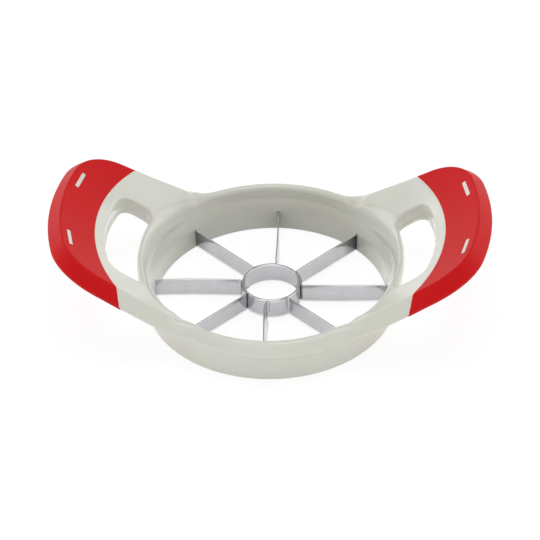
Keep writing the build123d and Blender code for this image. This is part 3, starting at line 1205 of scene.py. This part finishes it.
# %% The tree that sweeps a strip
def strip_tree():
    """The tree that sweeps a strip's profile along its path and turns it to its place."""
    group = bpy.data.node_groups.new("strip", "GeometryNodeTree")
    group.interface.new_socket("Path", in_out="INPUT", socket_type="NodeSocketGeometry")
    for name in strip_sizes:
        group.interface.new_socket(name, in_out="INPUT", socket_type="NodeSocketFloat")
    group.interface.new_socket("Material", in_out="INPUT", socket_type="NodeSocketMaterial")
    group.interface.new_socket("Mesh", in_out="OUTPUT", socket_type="NodeSocketGeometry")
    tree = Tree(group)
    given = tree.node("NodeGroupInput").outputs
    path = tree.node("GeometryNodeMeshToCurve", values={0: given["Path"]})
    upright = tree.node("GeometryNodeSetCurveNormal", {"mode": "Z_UP"}, {0: path.outputs[0]})
    lean = tree.number("GeometryNodeInputNamedAttribute", {"data_type": "FLOAT"}, {"Name": "lean"})
    tilted = tree.node("GeometryNodeSetCurveTilt", values={0: upright.outputs[0], "Tilt": lean})
    profile_size = {"Width": given["Thickness"], "Height": given["Height"]}
    profile = tree.node("GeometryNodeCurvePrimitiveQuadrilateral", values=profile_size)
    rounding = {0: profile.outputs[0], "Radius": given["Edge"], "Count": 3}
    soft = tree.node("GeometryNodeFilletCurve", {"mode": "POLY"}, rounding)
    sweep = {0: tilted.outputs[0], 1: soft.outputs[0], "Fill Caps": True}
    swept = tree.node("GeometryNodeCurveToMesh", values=sweep)
    turn = tree.node("ShaderNodeCombineXYZ", values={"Z": given["Turn"]})
    placed = tree.node("GeometryNodeTransform", values={0: swept.outputs[0], "Rotation": turn.outputs[0]})
    real = tree.node("GeometryNodeRealizeInstances", values={0: placed.outputs[0]})
    coats = {0: real.outputs[0], "Material": given["Material"]}
    dressed = tree.node("GeometryNodeSetMaterial", values=coats)
    tree.node("NodeGroupOutput", values={0: dressed.outputs[0]})
    return group


strip_edge = 0.1  # rounding along the strip's edges
strip_sizes = {
    "Thickness": strip_thickness * MM,
    "Height": (blade_top - blade_bottom) * MM,
    "Edge": strip_edge * MM,
    "Turn": 0.0,
}
strip_group = strip_tree()
print("strip tree:", len(strip_group.nodes), "nodes")

# %% Sweep the four strips
strip_leans = (2.5, 5.0, -2.0, -10.0)  # degrees, for the first blade of each strip
strip_bows = (0.2, 0.4, 0.5, 0.2)  # sideways at the middle of that blade
lean_start = 0.8  # beyond the tab
lean_rise = 3  # over which the lean sets in
lean_fade = 16  # distance from the middle from which it dies out again
bow_start = 1  # beyond the tab

reach = np.hypot(*strip_path.T)
on_first = np.arange(len(strip_path)) < len(strip_path) // 2
rising = np.clip((reach - tab_radius - lean_start) / lean_rise, 0, 1)
fading = np.clip((blade_tip - reach) / (blade_tip - lean_fade), 0, 1)
along_blade = np.clip((reach - tab_radius - bow_start) / (blade_tip - tab_radius - bow_start), 0, 1)
strips = []
for number, (strip_lean, strip_bow) in enumerate(zip(strip_leans, strip_bows)):
    sideways = (strip_bow * np.sin(math.pi * along_blade) * on_first)[:, None] * blade_axes(0)[1]
    points = raised(strip_path + sideways, (blade_top + blade_bottom) / 2) * MM
    path = bpy.data.meshes.new("path")
    path.from_pydata(points.tolist(), [(i, i + 1) for i in range(len(points) - 1)], [])
    tilts = path.attributes.new("lean", "FLOAT", "POINT")
    tilts.data.foreach_set("value", np.radians(rising * fading * (strip_lean * on_first)))
    inputs = {**strip_sizes, "Turn": math.radians(90 * number)}
    work = bmesh.new()
    work.from_mesh(grown(path, strip_group, inputs, "strip"))
    bmesh.ops.remove_doubles(work, verts=work.verts, dist=merge_reach * MM)
    strips.append(finished(work, f"bent_strip_{number + 1}", sharp_angle=60))

# %% [markdown]
# ## The core ring
#
# A short length of steel tube cuts out the core. Its upper edge is rounded by polishing and its lower
# edge is ground to a cutting edge from the inside.

# %% Turn the core ring
core_wall = 0.8
core_edge = 0.22  # rounding of the upper edge
core_burr = 0.12  # taken off the lower edge outside
core_grind = 0.9  # height of the ground face inside
core_step = 2.5  # degrees between the tube's columns
inner_radius = core_radius - core_wall
section = [(core_radius - core_burr, core_bottom), (core_radius, core_bottom + core_burr)]
for turn in np.radians((0, 30, 60, 90)):
    inwards, down = core_edge * (1 - math.cos(turn)), core_edge * (1 - math.sin(turn))
    section.append((core_radius - inwards, core_top - down))
for turn in np.radians((90, 60, 30, 0)):
    inwards, down = core_edge * (1 - math.cos(turn)), core_edge * (1 - math.sin(turn))
    section.append((inner_radius + inwards, core_top - down))
section.append((inner_radius, core_bottom + core_grind))
section.append(section[0])
around = circle(np.arange(0, 360, core_step))
tube = shell("core_tube", [band([raised(radius * around, height) for radius, height in section])])

# %% [markdown]
# ## Ride and replace
#
# Every piece moves with the one body of this tool and stands for its node, which is hidden. The material
# slot named with it is only printed; its finish is put on further down.

# %% Tie the pieces to the frame
for piece, node, slot in (
    (upper_moulding, "upper_frame", "frame"),
    (lower_moulding, "lower_frame", "frame"),
    (skins["right_grip"], "right_grip", "grip"),
    (skins["left_grip"], "left_grip", "grip"),
    (tube, "core_ring", "steel"),
    *[(strip, f"blade_strip_{number + 1}", "steel") for number, strip in enumerate(strips)],
):
    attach(piece, "root")
    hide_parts(node)
    print(piece.name, "is the", node, "and is made of the slot", slot)

# %% [markdown]
# ## The finishes
#
# Every finish is built from noises on the object's own coordinates, so it sits still on the piece and has
# no picture behind it. A few small helpers keep the recipes short: `spots` is a noise with spots of a
# given width in millimetres, `above` makes a mask of it, `blend` is a colour between two colours, and
# `dents` turns a height into a bump.

# %% Helpers for the finishes
def linear(red, green, blue):
    """A linear colour from screen values between 0 and 255."""
    values = [value / 255 for value in (red, green, blue)]
    return [v / 12.92 if v <= 0.04045 else ((v + 0.055) / 1.055) ** 2.4 for v in values] + [1.0]


def finish(name, metallic, specular):
    """A new material: the material, its tree, its shader and the object's coordinates."""
    made = bpy.data.materials.new(name)
    made.use_nodes = True
    made.node_tree.nodes.clear()
    tree = Tree(made.node_tree)
    plain = {"Metallic": metallic, "Specular IOR Level": specular}
    surface = tree.node("ShaderNodeBsdfPrincipled", values=plain)
    tree.node("ShaderNodeOutputMaterial", values={"Surface": surface.outputs[0]})
    return made, tree, surface, tree.node("ShaderNodeTexCoord").outputs["Object"]


def spots(tree, place, width, detail=2.0, squeeze=(1, 1, 1)):
    """A noise around 0.5 whose spots are about so many millimetres wide."""
    squeezed = tree.node("ShaderNodeVectorMath", {"operation": "MULTIPLY"}, {0: place, 1: squeeze})
    wanted = {"Vector": squeezed.outputs[0], "Scale": 1 / (width * MM), "Detail": detail}
    return tree.number("ShaderNodeTexNoise", values=wanted)


def above(value, level, softness):
    """0 below a level and 1 above it, with a soft step between."""
    return ((value - level) / softness + 0.5).most(0).least(1)


def blend(tree, share, first, second):
    """A colour between two colours."""
    return tree.node("ShaderNodeMix", {"data_type": "RGBA"}, {0: share, 6: first, 7: second}).outputs[2]


def dents(tree, height, depth):
    """Normals of a surface that a height pushes about, up to a depth in millimetres."""
    return tree.node("ShaderNodeBump", values={"Distance": depth * MM, "Height": height}).outputs[0]


print("mid grey on the screen is", round(linear(128, 128, 128)[0], 3), "as a linear value")

# %% [markdown]
# The mouldings are glossy ABS from a polished mould. Real mouldings aren't quite even: the skin sinks a
# little over thick places, the white varies a trace towards yellow, fingers leave duller patches, and
# here and there sits a speck of dust.

# %% Off-white plastic
plastic, tree, surface, place = finish("off_white_plastic", 0.0, 0.5)
cloud = above(spots(tree, place, 45.0), 0.5, 0.5)
mottle = spots(tree, place, 7.0, 4.0)
dust = above(spots(tree, place, 0.55, 3.0), 0.71, 0.02) * above(spots(tree, place, 16.0), 0.55, 0.1)
tone = blend(tree, cloud, linear(214, 215, 207), linear(211, 211, 199))
tone = blend(tree, mottle * 0.35, tone, linear(204, 204, 195))
tone = blend(tree, dust * 0.7, tone, linear(238, 238, 236))
tree.feed(surface.inputs["Base Color"], tone)
smudge = above(spots(tree, place, 18.0, 3.0), 0.55, 0.2)
rough = spots(tree, place, 1.2, 3.0) * 0.06 + smudge * 0.07 + dust * 0.25 + 0.1
tree.feed(surface.inputs["Roughness"], rough)
sink = spots(tree, place, 11.0, 1.0) + spots(tree, place, 0.5, 2.0) * 0.012
tree.feed(surface.inputs["Normal"], dents(tree, sink, 0.06))
print("off-white plastic:", len(tree.nodes.nodes), "nodes")

# %% [markdown]
# The grips are a soft red skin (TPE). Its mould is lightly eroded, so the surface has a fine grain that
# scatters light. It picks up pale dust, and the rubbed places shine a little more.

# %% Red grip skin
rubber, tree, surface, place = finish("red_soft_grip", 0.0, 0.16)
grain = spots(tree, place, 0.42, 3.0)
rubbed = above(spots(tree, place, 22.0, 2.0), 0.5, 0.4)
lint = above(spots(tree, place, 0.5, 2.0), 0.735, 0.02) * above(spots(tree, place, 9.0), 0.5, 0.2)
tone = blend(tree, rubbed, linear(203, 10, 14), linear(196, 8, 12))
tone = blend(tree, above(grain, 0.5, 0.8) * 0.5, tone, linear(184, 6, 10))
tone = blend(tree, lint * 0.5, tone, linear(226, 130, 128))
tree.feed(surface.inputs["Base Color"], tone)
tree.feed(surface.inputs["Roughness"], grain * 0.2 - rubbed * 0.06 + 0.42)
tree.feed(surface.inputs["Normal"], dents(tree, grain, 0.035))
print("red soft grip:", len(tree.nodes.nodes), "nodes")

# %% [markdown]
# Strips and tube are cut from rolled stainless steel. Rolling leaves fine lines along the metal, and as
# all of it stands upright, lines at a constant height run the right way on every blade and round the
# ring. The top edges are rubbed bright, the cutting edges below are freshly ground, and the sheet is
# never quite flat. The blades' ends in the back corners, near the wall, carry painted shade: the steel is
# darkened there, more on the right, and stands in for the dark corner that the metal mirrors.

# %% Stainless steel
steel, tree, surface, place = finish("rolled_steel", 1.0, 0.5)
split = tree.node("ShaderNodeSeparateXYZ", values={0: place}).outputs
east, north, height = (Number(tree, socket) / MM for socket in split)
lines = spots(tree, place, 0.16, 3.0, (0.015, 0.015, 1))
smear = spots(tree, place, 5.0, 3.0, (1, 1, 0.5))
bright = above(height, blade_top - 0.3, 0.2)
ground = 1 - above(height, blade_bottom + 0.7, 0.2)
from_middle = (east * east + north * north).root()
# painted shade: the back blades' ends near the wall are darkened, more on the right, and stand in for the
# mirrored dark corner
corner = above(from_middle, bore_radius - 4.0, 9.0) * above(north, 25.0, 10.0)
painted_shade = corner * (above(east, 0.0, 40.0) * 0.35 + 0.55)
tone = blend(tree, above(lines, 0.5, 0.5), linear(201, 202, 204), linear(178, 179, 182))
tone = blend(tree, above(smear, 0.55, 0.3) * 0.3, tone, linear(176, 175, 176))
tone = blend(tree, painted_shade, tone, linear(45, 45, 46))
tone = blend(tree, bright.most(ground), tone, linear(232, 233, 235))
tree.feed(surface.inputs["Base Color"], tone)
tree.feed(surface.inputs["Roughness"], lines * 0.10 + smear * 0.10 + ground * 0.12 + 0.03)
wave = spots(tree, place, 9.0, 1.0) + lines * 0.01
tree.feed(surface.inputs["Normal"], dents(tree, wave, 0.05))
print("rolled steel:", len(tree.nodes.nodes), "nodes")

# %% Put the finishes on
for piece, made in (
    (upper_moulding, plastic),
    (lower_moulding, plastic),
    *[(piece, rubber) for piece in skins.values()],
    *[(piece, steel) for piece in (tube, *strips)],
):
    piece.data.materials.clear()
    piece.data.materials.append(made)
    print(piece.name, "gets", made.name)

# %% [markdown]
# ## Camera, floor and light
#
# The camera stands well back and looks down on the tool from the front with a long lens, a little turned
# and rolled. Its lens is written in pixels of a square picture, as a measuring program would, and turned
# into the millimetres that Blender wants.

# %% Camera
picture = 540  # pixels
turn, tilt, roll = (math.radians(angle) for angle in (4.260, 38.518, 1.312))
distance = 1241.92  # from the origin
focal = 2922.12  # pixels
sensor = 36  # millimetres
shift = np.array([0.703, -12.259])  # of the origin from the middle of the view
back = np.array([math.sin(turn) * math.cos(tilt), -math.cos(turn) * math.cos(tilt), math.sin(tilt)])
right = np.array([math.cos(turn), math.sin(turn), 0.0])
up = np.cross(back, right)
view_axes = np.array([
    math.cos(roll) * right - math.sin(roll) * up,
    math.sin(roll) * right + math.cos(roll) * up,
    back,
])
stand = view_axes.T @ np.array([-shift[0], -shift[1], distance]) * MM
camera_data = bpy.data.cameras.new("camera")
camera = bpy.data.objects.new("camera", camera_data)
bpy.context.scene.collection.objects.link(camera)
camera_data.sensor_width = sensor
camera_data.lens = sensor * focal / picture
camera_data.clip_start = 0.05
camera_data.clip_end = 20
camera.matrix_world = Matrix.Translation(stand) @ Matrix([list(axis) for axis in view_axes.T]).to_4x4()
bpy.context.scene.camera = camera
print("camera at", np.round(stand, 3), "m, lens", round(camera_data.lens, 1), "mm")

# %% [markdown]
# The floor is a large sheet of paper just under the tool. The camera sees it almost white, with a faint
# soft shadow. The object is lit by it as by real white paper, and mirrors it a little brighter: steel and
# glossy plastic then show a pale studio and no black.

# %% Floor
floor_reach = 3.0
floor_gap = 0.2 * MM
paper_white = 0.85  # what lights the object
paper_glow = 0.12
mirrored_glow = 0.31  # more of it where the object mirrors the paper
seen_shade = 0.16  # what the camera sees: a faint shadow
seen_glow = 0.88  # on almost plain white
floor_mesh = bpy.data.meshes.new("floor")
work = bmesh.new()
bmesh.ops.create_grid(work, x_segments=1, y_segments=1, size=floor_reach)
bmesh.ops.translate(work, verts=work.verts, vec=(0, 0, -floor_gap))
work.to_mesh(floor_mesh)
work.free()
floor = bpy.data.objects.new("floor", floor_mesh)
bpy.context.scene.collection.objects.link(floor)
paper = bpy.data.materials.new("paper")
paper.use_nodes = True
paper.node_tree.nodes.clear()
tree = Tree(paper.node_tree)
path = tree.node("ShaderNodeLightPath")
watched, mirrored = path.outputs["Is Camera Ray"], Number(tree, path.outputs["Is Glossy Ray"])
white = tree.node("ShaderNodeBsdfDiffuse", values={"Color": (*[paper_white] * 3, 1)})
gleam = tree.node("ShaderNodeEmission", values={"Strength": mirrored * mirrored_glow + paper_glow})
matt = tree.node("ShaderNodeAddShader", values={0: white.outputs[0], 1: gleam.outputs[0]})
shade = tree.node("ShaderNodeBsdfDiffuse", values={"Color": (*[seen_shade] * 3, 1)})
glow = tree.node("ShaderNodeEmission", values={"Strength": seen_glow})
lit = tree.node("ShaderNodeAddShader", values={0: shade.outputs[0], 1: glow.outputs[0]})
mixed = tree.node("ShaderNodeMixShader", values={0: watched, 1: matt.outputs[0], 2: lit.outputs[0]})
tree.node("ShaderNodeOutputMaterial", values={"Surface": mixed.outputs[0]})
floor_mesh.materials.append(paper)
print("floor:", len(paper.node_tree.nodes), "nodes")

# %% [markdown]
# The studio is a ring of low soft lights round the table, two lamps above it on the left and right, and
# one large soft light overhead. The wall between them is dim, and dark behind the camera. Glossy plastic
# and steel show such lights as long soft streaks. We paint them on the world: each light has a heading,
# half a width, a lower and an upper edge, all in degrees, and a strength. +X is 0 and +Y, away from the
# camera, is 90.

# %% Lights
studio_lights = {
    "left": (180, 48, 0, 25, 2.1),
    "right": (0, 48, 0, 25, 1.95),
    "front": (270, 42, 0, 25, 1.15),
    "back": (90, 42, 0, 25, 1.3),
    "overhead": (0, 180, 72, 90, 3.3),
    "round the overhead": (0, 180, 58, 72, 0.9),
    "left lamp": (160, 24, 32, 58, 0.9),
    "right lamp": (20, 24, 32, 58, 1.1),
    "wall": (90, 138, 25, 58, 0.2),
}
light_edge = 3.0
world = bpy.data.worlds.new("studio")
bpy.context.scene.world = world
world.use_nodes = True
world.node_tree.nodes.clear()
tree = Tree(world.node_tree)
heading = tree.node("ShaderNodeTexCoord").outputs["Generated"]
split = tree.node("ShaderNodeSeparateXYZ", values={0: heading}).outputs
x, y, z = (Number(tree, socket) for socket in split)
rise = z.maths("ARCSINE") * math.degrees(1)
strength = x * 0
for turn, half_width, low, high, power in studio_lights.values():
    ahead = x * math.cos(math.radians(turn)) + y * math.sin(math.radians(turn))
    aside = y * math.cos(math.radians(turn)) - x * math.sin(math.radians(turn))
    off = aside.maths("ARCTAN2", ahead).magnitude() * math.degrees(1)
    inside = 1 - above(off, half_width, light_edge)
    inside = inside * above(rise, low, light_edge)
    if high < 90:  # straight overhead there is no upper edge
        inside = inside * (1 - above(rise, high, light_edge))
    strength = strength + inside * power
air = tree.node("ShaderNodeBackground", values={"Color": (1, 1, 1, 1), "Strength": strength})
tree.node("ShaderNodeOutputWorld", values={"Surface": air.outputs[0]})
bpy.context.scene.view_settings.view_transform = "Standard"
print("studio:", ", ".join(studio_lights))

# %% [markdown]
# ## The end
#
# The view layer is brought up to date.

# %% Bring the view layer up to date
bpy.context.view_layer.update()
